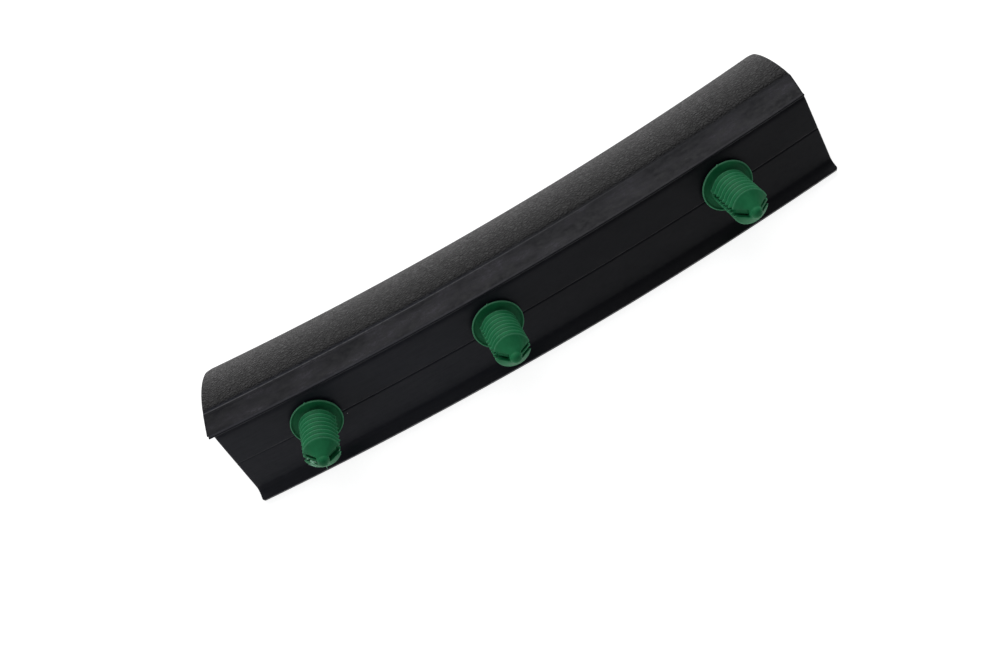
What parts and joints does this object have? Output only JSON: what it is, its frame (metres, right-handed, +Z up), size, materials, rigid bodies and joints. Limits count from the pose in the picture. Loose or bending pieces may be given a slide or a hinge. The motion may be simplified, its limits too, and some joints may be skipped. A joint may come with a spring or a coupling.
{
  "type": "clip-on trim strip",
  "caption": "L-shaped moulded plastic trim strip with a grained show face and a flat mounting panel that carries nylon push-in clips.",
  "frame": {"origin": "middle of the footprint, on the surface the strip lies on", "axes": "+X along the strip, +Z up, clips on the -Y side"},
  "size_m": [0.2218, 0.06, 0.0294],
  "materials": {
    "strip_plastic": "black moulded plastic, fine leather grain on the show face, satin smooth elsewhere",
    "clip_nylon": "dark green natural nylon, slightly waxy satin"
  },
  "bodies": {
    "strip": {"trim_strip": "strip_plastic"},
    "left_clip": {"clip_left": "clip_nylon"},
    "middle_clip": {"clip_middle": "clip_nylon"},
    "right_clip": {"clip_right": "clip_nylon"}
  },
  "joints": [
    {"name": "left_clip_turn", "type": "hinge", "parent": "strip", "child": "left_clip", "pos_m": [-0.07854, -0.00984, 0.01397], "axis": [-0.0357, -0.7862, 0.617], "continuous": true},
    {"name": "middle_clip_turn", "type": "hinge", "parent": "strip", "child": "middle_clip", "pos_m": [-0.01096, -0.01138, 0.01397], "axis": [0, -0.787, 0.617], "continuous": true},
    {"name": "right_clip_turn", "type": "hinge", "parent": "strip", "child": "right_clip", "pos_m": [0.07543, -0.00887, 0.01397], "axis": [0.0457, -0.7857, 0.617], "continuous": true}
  ]
}
